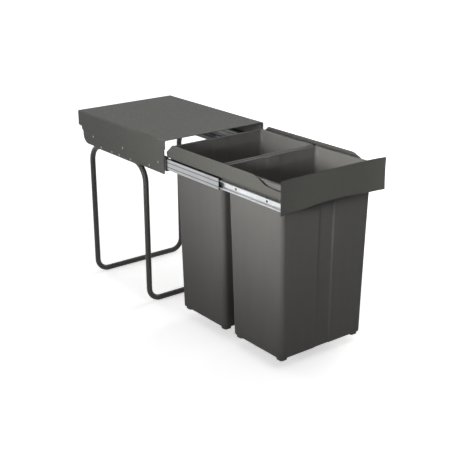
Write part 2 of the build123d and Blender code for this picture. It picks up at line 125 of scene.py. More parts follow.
class BinSettings(bpy.types.PropertyGroup):
    """Sizes of a moulded bin that its packed box does not give."""

    collar_height: length_property("Collar height", 21.8, "Height of the collar that the bin hangs by")
    bottom_length: length_property("Bottom length", 144.8, "Front-to-rear length of the wall at the bottom")
    bottom_width: length_property("Bottom width", 204.6, "Width of the wall at the bottom")
    top_length: length_property("Top length", 153.2, "Front-to-rear length of the wall at the rim's height")
    top_width: length_property("Top width", 223.6, "Width of the wall at the rim's height")
    rim_land: length_property("Rim land", 6.4, "Width of the flat land round the mouth")
    wall: length_property("Wall", 2, "Thickness of the walls and the floor")
    inner_corner: length_property("Inner corner", 4, "Corner radius of the inside, seen from above")
    corner: length_property("Corner", 9.5, "Corner radius seen from above")
    heel: length_property("Heel", 2.5, "Radius between the walls and the bottom")
    rim_round: length_property("Rim round", 1.6, "Rounding of the collar's top edge")
    mouth_round: length_property("Mouth round", 1.2, "Rounding of the edge round the mouth")
    bow: length_property("Bow", 0.5, "How far the walls bow in at mid height, as moulded walls shrink")
    groove_width: length_property("Groove width", 34, "Width of the finger groove at half its depth")
    groove_depth: length_property("Groove depth", 1.3, "Depth of the finger groove")
    groove_slope: length_property("Groove slope", 7, "Width of each side of the groove")
    foot_height: length_property("Foot height", 6, "Height of the feet under the bin")
    foot_length: length_property("Foot length", 17, "Side of a foot, seen from below")
    foot_inset: length_property("Foot inset", 4, "Distance of a foot from the bin's side at the bottom")


class FrontPlateSettings(bpy.types.PropertyGroup):
    """Sizes of the drawer's front plate that its packed box does not give."""

    sheet: length_property("Sheet", 2, "Thickness of the plate")
    flat_half: length_property("Flat half", 83, "Half the width of the flat middle, seen from above")
    sweep: length_property("Sweep", 4.5, "How far each end sweeps forwards")
    arch: length_property("Arch", 3.8, "Rise of the lower edge in the middle")
    arch_flat: length_property("Arch flat", 34, "Half the width over which the arch is level")
    arch_end: length_property("Arch end", 76, "Distance from the middle at which the arch begins")
    edge_round: length_property("Edge round", 0.5, "Rounding of the plate's edges")


class FastenerSettings(bpy.types.PropertyGroup):
    """Sizes of the rivets and screws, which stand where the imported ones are."""

    shank: length_property("Shank", 2.6, "Diameter of the shank")
    head: length_property("Head", 5, "Diameter of the head")
    head_height: length_property("Head height", 0.8, "Height of the domed head")
    eye: length_property("Eye", 1.8, "Diameter of the dimple that the pulled mandrel leaves")
    ball: length_property("Ball", 2.4, "Diameter of a slide's ball")


class FinishSettings(bpy.types.PropertyGroup):
    """Colours of the finishes."""

    sheet_coat: colour_property("Sheet coat", "#444440", "Powder coat on the folded sheets")
    tube_coat: colour_property("Tube coat", "#474644", "Powder coat on the leg tubes")
    bin_plastic: colour_property("Bin plastic", "#5A5957", "Moulded polypropylene of the bins")
    zinc: colour_property("Zinc", "#DEE0E1", "Bright zinc plate on the slides")
    grooved_zinc: colour_property("Grooved zinc", "#A9ABAC", "Zinc plate on the middle rails")
    greased_zinc: colour_property("Greased zinc", "#565758", "Zinc plate under grease, on the outer rails")
    # Painted shade: a dark zinc on the outer rails, which lie in shade under the cover
    cage_zinc: colour_property("Cage zinc", "#B4B5B3", "Plain zinc on the ball cages")
    rivet_zinc: colour_property("Rivet zinc", "#8C8D8B", "Dulled zinc on the rivets")
    screw_oxide: colour_property("Screw oxide", "#2B2B2A", "Black oxide on the drawer's screws")
    ball_steel: colour_property("Ball steel", "#DEDFE1", "Polished ball steel")
    rubber: colour_property("Rubber", "#252525", "Rubber of the rail stops")


class StageSettings(bpy.types.PropertyGroup):
    """The camera and the studio."""

    camera_place: bpy.props.FloatVectorProperty(
        name="Camera place",
        description="Where the camera stands",
        default=(-1.15012, -1.73965, 0.86507),
        subtype="XYZ",
        unit="LENGTH",
    )
    camera_yaw: angle_property("Camera yaw", 37.27, "Turn of the view from straight ahead to the right")
    camera_pitch: angle_property("Camera pitch", 19.75, "Angle of the view below level")
    camera_roll: angle_property("Camera roll", -0.32, "Turn of the camera about its own view")
    lens: bpy.props.FloatProperty(
        name="Lens", description="Focal length on a 36 mm wide sensor, in millimetres", default=77.22, min=1
    )
    floor_size: length_property("Floor size", 12000, "Side of the square floor")
    floor_colour: colour_property("Floor colour", "#C2C2C1", "Pale studio floor, as it lights the bin frame")
    floor_shown_colour: colour_property("Shown colour", "#F8F8F7", "Pale studio floor, where it is seen")
    floor_lift: bpy.props.FloatProperty(
        name="Floor lift", description="White added to the floor where it is seen", default=0.58, min=0
    )
    shadow_reach: length_property("Shadow reach", 900, "How far from the middle the full shadow is kept")
    ambient: bpy.props.FloatProperty(
        name="Ambient", description="Strength of the even light from all around", default=0.2, min=0
    )
    ambient_colour: colour_property("Ambient colour", "#F4F5F6", "Even light from all around")


class BinFrameSettings(bpy.types.PropertyGroup):
    """All settings of the bin frame."""

    tubes: group_property(LegTubeSettings, "Leg tubes", "Leg tube sizes")
    bins: group_property(BinSettings, "Bins", "Bin sizes")
    front_plate: group_property(FrontPlateSettings, "Front plate", "Front plate sizes")
    fasteners: group_property(FastenerSettings, "Fasteners", "Rivet, screw and ball sizes")
    finishes: group_property(FinishSettings, "Finishes", "Finish colours")
    stage: group_property(StageSettings, "Stage", "Camera and floor")


def grid_surface(points):
    """Join a grid of points, closed round its columns, with quads, and close each end ring with a fan."""
    rows, columns = points.shape[:2]
    row, column = np.meshgrid(np.arange(rows - 1), np.arange(columns), indexing="ij")
    following = (column + 1) % columns
    near, far = row * columns, (row + 1) * columns
    quads = np.stack([near + column, near + following, far + following, far + column], axis=-1)
    ring = np.arange(columns)
    after = (ring + 1) % columns
    last = (rows - 1) * columns
    middle = np.full(columns, rows * columns)
    fans = [
        np.stack([after, ring, middle], axis=-1),
        np.stack([last + ring, last + after, middle + 1], axis=-1),
    ]
    vertices = np.vstack([points.reshape(-1, 3), points[0].mean(axis=0), points[-1].mean(axis=0)])
    return vertices, quads.reshape(-1, 4), np.vstack(fans)


def joined(surfaces):
    """Put several surfaces into one, with their faces counted on from each other."""
    counts = np.cumsum([0] + [len(vertices) for vertices, _, _ in surfaces])
    vertices = np.vstack([surface[0] for surface in surfaces])
    quads = np.vstack([surface[1] + start for surface, start in zip(surfaces, counts)])
    triangles = np.vstack([surface[2] + start for surface, start in zip(surfaces, counts)])
    return vertices, quads, triangles


def mesh_from(name, surface):
    """Write a surface into a new mesh object, smooth except at edges that turn more than the sharp angle."""
    vertices, quads, triangles = surface
    corners = np.concatenate([quads.ravel(), triangles.ravel()]).astype(np.int32)
    sizes = np.concatenate([np.full(len(quads), 4), np.full(len(triangles), 3)])
    starts = np.concatenate([[0], np.cumsum(sizes)[:-1]]).astype(np.int32)
    mesh = bpy.data.meshes.new(name)
    mesh.vertices.add(len(vertices))
    mesh.vertices.foreach_set("co", vertices.ravel().astype(np.float32))
    mesh.loops.add(len(corners))
    mesh.loops.foreach_set("vertex_index", corners)
    mesh.polygons.add(len(starts))
    mesh.polygons.foreach_set("loop_start", starts)
    mesh.update(calc_edges=True)
    mesh.validate()
    mesh.shade_smooth()
    mesh.set_sharp_from_angle(angle=SHARP_ANGLE)
    piece = bpy.data.objects.new(name, mesh)
    bpy.context.scene.collection.objects.link(piece)
    return piece


def dress(piece, body, slot, material, *nodes):
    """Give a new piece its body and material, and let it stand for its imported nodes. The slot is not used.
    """
    piece.data.materials.append(material)
    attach(piece, body)
    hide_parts(*nodes)


def add_node(tree, kind, inputs=None, **settings):
    """Add a shader node and set it up.

    Each input, given by its name or number, gets a value or is linked to another node's output.
    """
    node = tree.nodes.new("ShaderNode" + kind)
    for name, value in settings.items():
        setattr(node, name, value)
    for name, value in (inputs or {}).items():
        if isinstance(value, bpy.types.NodeSocket):
            tree.links.new(value, node.inputs[name])
        else:
            node.inputs[name].default_value = value
    return node


def new_material(name):
    """Return an empty node material and its tree."""
    material = bpy.data.materials.new(name)
    material.use_nodes = True
    material.node_tree.nodes.clear()
    return material, material.node_tree


def finish_material(tree, inputs):
    """Give a material its surface: one principled shader with the inputs given."""
    shader = add_node(tree, "BsdfPrincipled", inputs)
    add_node(tree, "OutputMaterial", {"Surface": shader.outputs["BSDF"]})


def mottle(tree, period, low, high, detail=3.0, stretch=(1, 1, 1)):
    """Return a soft random value between low and high, in blotches a period wide.

    The blotches are drawn out along each axis whose stretch is below 1.
    """
    place = add_node(tree, "TexCoord")
    scaled = add_node(tree, "Mapping", {"Vector": place.outputs["Object"], "Scale": stretch})
    blotch = add_node(
        tree, "TexNoise", {"Vector": scaled.outputs["Vector"], "Scale": 1 / period, "Detail": detail}
    )
    # Nearly all of the noise lies between 0.3 and 0.7
    level = add_node(
        tree,
        "MapRange",
        {"Value": blotch.outputs["Fac"], "From Min": 0.3, "From Max": 0.7, "To Min": low, "To Max": high},
    )
    return level.outputs["Result"]


def shaded(tree, colour, first, second):
    """Return a colour made brighter and darker by the product of two values."""
    level = add_node(tree, "Math", {0: first, 1: second}, operation="MULTIPLY")
    toned = add_node(tree, "HueSaturation", {"Color": colour, "Value": level.outputs["Value"]})
    return toned.outputs["Color"]


def soft_edges(tree, radius):
    """Return the normal of edges softened by a radius, and a value that is 0 on faces and 1 on edges."""
    soft = add_node(tree, "Bevel", {"Radius": radius}, samples=6)
    true = add_node(tree, "NewGeometry")
    facing = add_node(
        tree, "VectorMath", {0: soft.outputs["Normal"], 1: true.outputs["Normal"]}, operation="DOT_PRODUCT"
    )
    # The cosine between the softened and the true normal goes from 0.998 on faces to 0.7 on edges
    edge = add_node(
        tree,
        "MapRange",
        {"Value": facing.outputs["Value"], "From Min": 0.7, "From Max": 0.998, "To Min": 1, "To Max": 0},
    )
    return soft.outputs["Normal"], edge.outputs["Result"]


def crevice_shade(tree, reach):
    """Return 1 in the open, and down to 0.2 in gaps narrower than the reach: painted shade."""
    cover = add_node(tree, "AmbientOcclusion", {"Distance": reach}, samples=6)
    shade = add_node(
        tree,
        "MapRange",
        {"Value": cover.outputs["AO"], "From Min": 0.25, "From Max": 0.75, "To Min": 0.2, "To Max": 1},
    )
    return shade.outputs["Result"]


def powder_coat(name, colour, roughness, edge_radius, ior):
    """Polyester powder coat, sprayed and baked on steel: satin, with a fine orange peel, edges paler by
    painted highlight and wear, and painted shade in gaps.

    The refraction is a little below the real 1.5, because this studio is white on all sides.
    """
    material, tree = new_material(name)
    normal, edges = soft_edges(tree, edge_radius)
    # Painted shade: the coat is darkened in gaps narrower than 14 mm, on top of a soft random tone
    shade = crevice_shade(tree, 14 * MM)
    tone_and_painted_shade = add_node(tree, "Math", {0: mottle(tree, 90 * MM, 0.96, 1.04), 1: shade}, operation="MULTIPLY")
    coat = shaded(tree, colour, tone_and_painted_shade.outputs["Value"], mottle(tree, 1.4 * MM, 0.94, 1.06))
    # Edges are half as bright again as the coat, broken up at random: painted edge highlight, and wear
    highlit_and_rubbed = tuple(min(1.0, channel * 1.5) for channel in colour[:3]) + (1.0,)
    edge_highlight_and_wear = add_node(tree, "Math", {0: edges, 1: mottle(tree, 9 * MM, 0.15, 0.6)}, operation="MULTIPLY")
    paint = add_node(tree, "MixRGB", {"Fac": edge_highlight_and_wear.outputs["Value"], "Color1": coat, "Color2": highlit_and_rubbed})
    # Orange peel is about 1 mm wide on the real coat and drawn at 2.2 mm, so that it shows at all
    peel = mottle(tree, 2.2 * MM, 0, 1, 2.0)
    bump = add_node(tree, "Bump", {"Height": peel, "Normal": normal, "Strength": 0.16, "Distance": 0.1 * MM})
    sheen = mottle(tree, 6 * MM, roughness - 0.05, roughness + 0.06, 4.0)
    tone = paint.outputs["Color"]
    finish_material(
        tree, {"Base Color": tone, "Roughness": sheen, "Normal": bump.outputs["Normal"], "IOR": ior}
    )
    return material


def moulded_polypropylene(name, colour):
    """Injection-moulded polypropylene: a fine spark-eroded grain, soft sheen and faint upright flow marks.

    The refraction is far below the real 1.49, because this studio is white on all sides and would wash out
    the rims and inner walls, which are seen at a low angle.
    """
    material, tree = new_material(name)
    flow = mottle(tree, 14 * MM, 0.975, 1.025, 3.0, (1, 1, 0.06))
    tone = shaded(tree, colour, mottle(tree, 120 * MM, 0.97, 1.03), flow)
    # The eroded grain is about 0.3 mm wide on the real mould and drawn at 1.1 mm, so that it shows at all
    grain = mottle(tree, 1.1 * MM, 0, 1)
    bump = add_node(tree, "Bump", {"Height": grain, "Strength": 0.18, "Distance": 0.06 * MM})
    sheen = mottle(tree, 25 * MM, 0.46, 0.56, 4.0, (1, 1, 0.3))
    finish_material(
        tree, {"Base Color": tone, "Roughness": sheen, "Normal": bump.outputs["Normal"], "IOR": 1.15}
    )
    return material


def off_middle(tree, axis, middle):
    """Return how far the shaded point lies from a middle value on one of its object's axes."""
    place = add_node(tree, "TexCoord")
    axes = add_node(tree, "SeparateXYZ", {"Vector": place.outputs["Object"]})
    offset = add_node(tree, "Math", {0: axes.outputs[axis], 1: middle}, operation="SUBTRACT")
    return add_node(tree, "Math", {0: offset.outputs["Value"]}, operation="ABSOLUTE").outputs["Value"]


def rolled_grooves(tree):
    """Return 1 on plain metal and 0 in two grooves along Y: | |z - middle| - reach | over half the width."""
    rail_low, rail_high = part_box("left_middle_rail")
    # The web's stiffening grooves are 1.2 mm wide on real rails and drawn at 2.8 mm, so that they show
    middle, reach, width = (rail_low.z + rail_high.z) / 2, 4.6 * MM, 2.8 * MM
    beyond = add_node(tree, "Math", {0: off_middle(tree, "Z", middle), 1: reach}, operation="SUBTRACT")
    off = add_node(tree, "Math", {0: beyond.outputs["Value"]}, operation="ABSOLUTE")
    rise = add_node(
        tree,
        "MapRange",
        {"Value": off.outputs["Value"], "From Max": width / 2},
        interpolation_type="SMOOTHSTEP",
    )
    return rise.outputs["Result"]


def painted_channel_shade(tree):
    """Return 1 on the middle rails' outer faces, and 0.25 in their channels, where balls run: painted shade.
    """
    low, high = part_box("right_middle_rail")
    middle, sheet = (low.z + high.z) / 2, 1 * MM
    outside = []
    for axis, centre, edge in (("X", 0, high.x), ("Z", middle, high.z - middle)):
        distance = off_middle(tree, axis, centre)
        limits = {"From Min": edge - 0.7 * sheet, "From Max": edge - 0.3 * sheet, "To Min": 0.25, "To Max": 1}
        outside.append(add_node(tree, "MapRange", {"Value": distance, **limits}))
    first, second = (share.outputs["Result"] for share in outside)
    return add_node(tree, "Math", {0: first, 1: second}, operation="MAXIMUM").outputs["Value"]


def drawn_zinc(name, colour, roughness, grooved=False):
    """Zinc-plated rolled steel: bright, with fine drawing lines along the rail and soft blotches.

    The grooved kind is for the middle rails, whose grooves and channels get painted shade.
    """
    material, tree = new_material(name)
    normal, _ = soft_edges(tree, 0.25 * MM)
    # Drawing lines are some 0.1 mm apart on real rails and drawn at 0.9 mm, so that they show at all
    lines = mottle(tree, 0.9 * MM, 0, 1, 3.0, (1, 0.015, 1))
    streaks = add_node(tree, "MapRange", {"Value": lines, "To Min": 0.95, "To Max": 1.03})
    # Painted shade: the streaks are darkened in gaps narrower than 7 mm
    streaks_and_painted_shade = add_node(
        tree, "Math", {0: streaks.outputs["Result"], 1: crevice_shade(tree, 7 * MM)}, operation="MULTIPLY"
    )
    relief, shade = lines, streaks_and_painted_shade.outputs["Value"]
    # The grooves are three times as deep as the drawing lines
    if grooved:
        depth = rolled_grooves(tree)
        deep = add_node(tree, "Math", {0: depth, 1: 3.0, 2: lines}, operation="MULTIPLY_ADD")
        # Painted shade in the grooves, down to 0.12 of the colour
        painted_groove_shade = add_node(tree, "MapRange", {"Value": depth, "To Min": 0.12, "To Max": 1})
        # Painted shade in the channels, down to 0.25 of the colour
        grease = painted_channel_shade(tree)
        groove_and_channel_shade = add_node(tree, "Math", {0: painted_groove_shade.outputs["Result"], 1: grease}, operation="MULTIPLY")
        dull = add_node(tree, "Math", {0: groove_and_channel_shade.outputs["Value"], 1: shade}, operation="MULTIPLY")
        relief, shade = deep.outputs["Value"], dull.outputs["Value"]
    bump = add_node(tree, "Bump", {"Height": relief, "Normal": normal, "Strength": 0.1, "Distance": 0.1 * MM})
    tone = shaded(tree, colour, mottle(tree, 18 * MM, 0.93, 1.04), shade)
    sheen = mottle(tree, 7 * MM, roughness - 0.05, roughness + 0.08, 4.0, (1, 0.2, 1))
    finish_material(
        tree, {"Base Color": tone, "Roughness": sheen, "Normal": bump.outputs["Normal"], "Metallic": 1.0}
    )
    return material


def polished_steel(name, colour):
    """Hardened bearing steel, lapped bright, with a thin film of grease that dulls it in patches."""
    material, tree = new_material(name)
    tone = shaded(tree, colour, mottle(tree, 2.5 * MM, 0.92, 1.0, 2.0), 1.0)
    film = mottle(tree, 1.5 * MM, 0.08, 0.22, 2.0)
    finish_material(tree, {"Base Color": tone, "Roughness": film, "Metallic": 1.0})
    return material


def dull_coating(name, colour, roughness, grain):
    """A thin dull skin, as black oxide on screws or the bloom on moulded rubber: matt and finely pitted."""
    material, tree = new_material(name)
    tone = shaded(tree, colour, mottle(tree, 3 * MM, 0.85, 1.25, 4.0), mottle(tree, grain, 0.9, 1.1))
    pits = mottle(tree, grain, 0, 1)
    bump = add_node(tree, "Bump", {"Height": pits, "Strength": 0.25, "Distance": 0.1 * MM})
    sheen = mottle(tree, 2 * MM, roughness - 0.06, roughness + 0.06)
    finish_material(
        tree, {"Base Color": tone, "Roughness": sheen, "Normal": bump.outputs["Normal"], "IOR": 1.52}
    )
    return material


def finish(name):
    """Return a finish by its name, made the first time it is asked for."""
    if name in bpy.data.materials:
        return bpy.data.materials[name]
    colours = bpy.context.scene.bin_frame.finishes
    # What makes each finish, its colour and its roughness. A powder coat's edge radius and refraction follow,
    # or whether zinc is grooved, or a dull coating's grain.
    recipes = {
        "powder_coated_sheet": (powder_coat, colours.sheet_coat, 0.6, 0.5 * MM, 1.37),
        "powder_coated_tube": (powder_coat, colours.tube_coat, 0.45, 0.3 * MM, 1.4),
        "moulded_polypropylene": (moulded_polypropylene, colours.bin_plastic),
        "bright_zinc_plate": (drawn_zinc, colours.zinc, 0.3),
        "grooved_zinc_plate": (drawn_zinc, colours.grooved_zinc, 0.34, True),
        "greased_zinc_plate": (drawn_zinc, colours.greased_zinc, 0.5),
        "plain_zinc_cage": (drawn_zinc, colours.cage_zinc, 0.42),
        "grey_zinc_rivet": (drawn_zinc, colours.rivet_zinc, 0.45),
        "black_oxide_screw": (dull_coating, colours.screw_oxide, 0.45, 0.4 * MM),
        "polished_ball_steel": (polished_steel, colours.ball_steel),
        "moulded_rubber": (dull_coating, colours.rubber, 0.82, 0.8 * MM),
    }
    maker, *values = recipes[name]
    return maker(name, *values)


def unit(vector):
    """A vector scaled to length 1."""
    return vector / np.linalg.norm(vector)


def bent_route(corners, radii, arc_steps=14):
    """Return the middle points, directions and section axes of a route of straight runs and tangent arcs.

    At each corner the arc starts radius * tan(turn / 2) before it. Along an arc, the direction and the
    section's first axis turn about the arc's axis, so the section is carried along without twist.
    """
    # Any direction that no run of the tube follows starts the section's axis
    aslant = np.array([0.3, 0.5, 0.8])
    direction = unit(corners[1] - corners[0])
    axis = unit(np.cross(direction, aslant))
    start = corners[0]
    rows = []
    for corner, after, radius in zip(corners[1:], corners[2:], radii):
        following = unit(after - corner)
        hinge = unit(np.cross(direction, following))
        inward = np.cross(hinge, direction)
        turn = math.acos(np.clip(direction @ following, -1, 1))
        angles = np.linspace(0, turn, arc_steps + 1)[:, None]
        arc_start = corner - direction * radius * math.tan(turn / 2)
        arc = arc_start + radius * (np.sin(angles) * direction + (1 - np.cos(angles)) * inward)
        turned = np.cos(angles) * direction + np.sin(angles) * inward
        across = np.cos(angles) * inward - np.sin(angles) * direction
        carried = (axis @ hinge) * hinge + (axis @ direction) * turned + (axis @ inward) * across
        rows += [np.concatenate([start, direction, axis]), np.hstack([arc, turned, carried])[:-1]]
        start, direction, axis = arc[-1], following, carried[-1]
    rows += [np.concatenate([place, direction, axis]) for place in (start, corners[-1])]
    return np.split(np.vstack(rows), 3, axis=1)


def round_tube(places, directions, axes, radius, chamfer, columns=40):
    """A circle of the radius carried along the route: place + r (cos a * axis + sin a * direction x axis)."""
    first, last = directions[0] * chamfer, directions[-1] * chamfer
    places = np.vstack([places[:1], places[:1] + first, places[1:-1], places[-1:] - last, places[-1:]])
    directions = np.vstack([directions[:1], directions, directions[-1:]])[:, None]
    axes = np.vstack([axes[:1], axes, axes[-1:]])[:, None]
    radii = np.full((len(places), 1, 1), radius)
    radii[[0, -1]] = radius - chamfer
    angles = np.linspace(0, 2 * np.pi, columns, endpoint=False)[None, :, None]
    ring = np.cos(angles) * axes + np.sin(angles) * np.cross(directions, axes)
    return grid_surface(places[:, None] + radii * ring)


def leg_tube_surface(node, tubes):
    """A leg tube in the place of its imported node: from one joint end round both legs to the other."""
    low, high = (np.array(corner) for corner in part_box(node))
    radius = tubes.diameter / 2
    side = high[0] - radius
    top = high[2] - radius
    is_front = low[1] + high[1] < 0
    leg = low[1] + radius if is_front else high[1] - radius
    joint = high[1] if is_front else low[1]
    half = [(side, joint, top), (side, leg, top), (side, leg, radius), (-side, leg, radius)]
    corners = [np.array(point) for point in half + [(-side, leg, top), (-side, joint, top)]]
    bends = [tubes.upper_bend, tubes.lower_bend, tubes.lower_bend, tubes.upper_bend]
    return round_tube(*bent_route(corners, bends), radius, tubes.end_chamfer), leg


def drill(piece, places, radius, depth):
    """Cut upright round holes through a piece: a circle (r cos a, r sin a) carried up at each place."""
    angles = np.linspace(0, 2 * np.pi, 32, endpoint=False)
    circle = np.stack([radius * np.cos(angles), radius * np.sin(angles), 0 * angles], axis=-1)
    heights = np.array([-depth, 2 * depth])[:, None, None] * np.array([0, 0, 1])
    cutters = [grid_surface(circle[None] + heights + np.array([x, y, 0])) for x, y in places]
    cutter = mesh_from("drill", joined(cutters))
    cut = piece.modifiers.new("floor screw holes", "BOOLEAN")
    cut.operation = "DIFFERENCE"
    cut.solver = "EXACT"
    cut.object = cutter
    bpy.context.view_layer.objects.active = piece
    bpy.ops.object.modifier_apply(modifier=cut.name)
    bpy.data.objects.remove(cutter)


class BINFRAME_OT_leg_tubes(bpy.types.Operator):
    """Bend the two leg tubes"""

    bl_idname = "binframe.leg_tubes"
    bl_label = "Leg Tubes"

    def execute(self, context):
        tubes = context.scene.bin_frame.tubes
        for end in TUBE_ENDS:
            node = end + "_leg_tube"
            surface, leg = leg_tube_surface(node, tubes)
            piece = mesh_from(end + "_leg_tube_bent", surface)
            half = tubes.screw_spacing / 2
            drill(piece, [(-half, leg), (half, leg)], tubes.screw_hole / 2, tubes.diameter)
            dress(piece, "base", "painted_steel", finish("powder_coated_tube"), node)
        return {"FINISHED"}


def smooth(value):
    """A step from 0 to 1 with soft ends: 3 t^2 - 2 t^3."""
    share = np.clip(value, 0, 1)
    return share * share * (3 - 2 * share)


def ring_outline(length, width, corner, bins):
    """Return x and y of level outlines, one row for each size.

    An outline is a rounded rectangle: each corner is its centre + r (cos a, sin a). The front and rear sides
    step inwards by the groove's depth over the groove's slope, as 3 t^2 - 2 t^3. The second half of the
    outline is the first one turned half round.
    """
    length, width, corner = (value[:, None] for value in (length, width, corner))
    quarter = np.linspace(0, np.pi / 2, 9)[None]
    level_half = (bins.groove_width - bins.groove_slope) / 2
    # The slope's points go a little past both of its ends, so that the smooth shading bends only there
    slope_x = level_half + bins.groove_slope * np.linspace(-0.15, 1.15, 14)
    level_x = level_half * np.array([0.4, 0.8])
    groove_x = np.concatenate([slope_x[::-1], level_x[::-1], -level_x, -slope_x])[None]
    depth = bins.groove_depth * smooth((level_half + bins.groove_slope - abs(groove_x)) / bins.groove_slope)
    support = 1.2 * MM
    half_x, half_y = width / 2 - corner, length / 2 - corner
    end_x, end_y = half_x - support, half_y - support
    x = [width / 2, width / 2, half_x + corner * np.cos(quarter)]
    x += [end_x, groove_x + 0 * width, -end_x, -half_x - corner * np.sin(quarter)]
    y = [-end_y, end_y, half_y + corner * np.sin(quarter)]
    y += [length / 2, length / 2 - depth, length / 2, half_y + corner * np.cos(quarter)]
    x, y = np.concatenate(x, axis=1), np.concatenate(y, axis=1)
    return np.concatenate([x, -x], axis=1), np.concatenate([y, -y], axis=1)


def bin_surface(low, high, bins):
    """A moulded bin: a profile from under the bottom, up outside, over the rim and down inside.

    Each row of the profile is a level outline: the tapered wall or the collar, less an inset.
    """
    middle = (low + high) / 2
    collar_width, collar_length = high[0] - low[0], high[1] - low[1]
    top, bottom = high[2], low[2] + bins.foot_height
    neck = top - bins.collar_height
    bend = np.linspace(0, np.pi / 2, 6)
    rows = []

    def wall_size(z, inset):
        share = (z - bottom) / (top - bottom)
        length = bins.bottom_length + (bins.top_length - bins.bottom_length) * share
        width = bins.bottom_width + (bins.top_width - bins.bottom_width) * share
        return np.stack([length - 2 * inset, width - 2 * inset, bins.corner - inset], axis=-1)

    def wall_rows(z, inset):
        z, inset = np.broadcast_arrays(z, inset)
        rows.append(np.column_stack([z, wall_size(z, inset)]))

    def collar_rows(z, inset):
        z, inset = np.broadcast_arrays(z, inset)
        corner = np.maximum(bins.corner - inset, bins.corner / 3)
        rows.append(np.stack([z, collar_length - 2 * inset, collar_width - 2 * inset, corner], axis=-1))

    support = 0.6 * MM
    fillet = 1.5 * MM
    wall_low, wall_high = bottom + bins.heel + support, neck - fillet - support
    heights = np.linspace(wall_low, wall_high, 14)
    bow = bins.bow * np.sin(np.pi * (heights - wall_low) / (wall_high - wall_low))
    wall_rows(bottom, [bins.heel + 3 * MM, bins.heel + support])
    wall_rows(bottom + bins.heel * (1 - np.cos(bend)), bins.heel * (1 - np.sin(bend)))
    wall_rows(heights, bow)
    wall_rows(neck - fillet * (1 - np.sin(bend)), -fillet * (1 - np.cos(bend)))

    # The collar's outside, and the flat land between two rounded edges
    edge, rim, lip = 0.8 * MM, bins.rim_round, bins.mouth_round
    collar_rows(neck + edge * (1 - np.cos(bend)), edge * (1 - np.sin(bend)))
    collar_rows([neck + edge + support, top - rim - support], 0)
    collar_rows(top - rim * (1 - np.sin(bend)), rim * (1 - np.cos(bend)))
    collar_rows(top, [rim + support, bins.rim_land - lip - support])
    collar_rows(top - lip * (1 - np.cos(bend)), bins.rim_land - lip * (1 - np.sin(bend)))

    # The mouth flares out from the neck with a soft top end: half of the step 3 t^2 - 2 t^3, doubled
    flare = np.linspace(top - lip - support, neck, 7)
    share = 2 * smooth((top - lip - flare) / (top - lip - neck) / 2)
    land = 2 * bins.rim_land
    mouth_size = np.array([collar_length - land, collar_width - land, bins.inner_corner])
    blend = mouth_size + (wall_size(neck, bins.wall) - mouth_size) * share[:, None]
    rows.append(np.column_stack([flare, blend]))

    inner_heel, floor = 5 * MM, bottom + bins.wall
    heights = np.linspace(neck - 2 * MM, floor + inner_heel + support, 14)
    bow = bins.bow * np.sin(np.pi * (heights - wall_low) / (wall_high - wall_low))
    wall_rows(heights, bins.wall + np.clip(bow, 0, None))
    wall_rows(floor + inner_heel * (1 - np.sin(bend)), bins.wall + inner_heel * (1 - np.cos(bend)))
    wall_rows([floor], bins.wall + inner_heel + 2 * MM)

    z, length, width, corner = np.vstack(rows).T
    x, y = ring_outline(length, width, np.maximum(corner, 1 * MM), bins)
    return grid_surface(np.stack([middle[0] + x, middle[1] + y, z[:, None] + 0 * x], axis=-1))


def foot_surface(place, sole_height, bins):
    """A foot: a rounded square carried up from a rounded sole, r = corner - sole (1 - sin a)."""
    overlap, sole = 1 * MM, 1.2 * MM
    corner = bins.foot_length * 0.3
    bend = np.linspace(0, np.pi / 2, 5)
    inset = np.concatenate([[sole + 1 * MM], sole * (1 - np.sin(bend)), [0]])
    z = sole_height + np.concatenate([[0], sole * (1 - np.cos(bend)), [bins.foot_height + overlap]])
    angles = np.linspace(0, np.pi / 2, 7)
    turns = np.arange(4) * np.pi / 2
    heading = (angles[None] + turns[:, None]).ravel()
    diagonal = np.repeat(np.pi / 4 + turns, len(angles))
    reach = (bins.foot_length / 2 - corner) * math.sqrt(2)
    centre = reach * np.stack([np.cos(diagonal), np.sin(diagonal)], axis=-1)
    radius = (corner - inset)[:, None, None]
    outline = place + centre + radius * np.stack([np.cos(heading), np.sin(heading)], axis=-1)
    return grid_surface(np.concatenate([outline, z[:, None, None] + 0 * outline[..., :1]], axis=-1))


class BINFRAME_OT_bins(bpy.types.Operator):
    """Mould the two bins"""

    bl_idname = "binframe.bins"
    bl_label = "Bins"

    def execute(self, context):
        bins = context.scene.bin_frame.bins
        for name in BIN_NAMES:
            low, high = (np.array(corner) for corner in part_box(name))
            middle = (low + high)[:2] / 2
            bottom = np.array([bins.bottom_width, bins.bottom_length])
            reach = (bottom - bins.foot_length) / 2 - bins.foot_inset
            quarters = [(sx, sy) for sx in (-1, 1) for sy in (-1, 1)]
            feet = [foot_surface(middle + reach * quarter, low[2], bins) for quarter in quarters]
            piece = mesh_from(name + "_moulding", joined([bin_surface(low, high, bins)] + feet))
            dress(piece, "drawer", "bin_plastic", finish("moulded_polypropylene"), name)
        return {"FINISHED"}


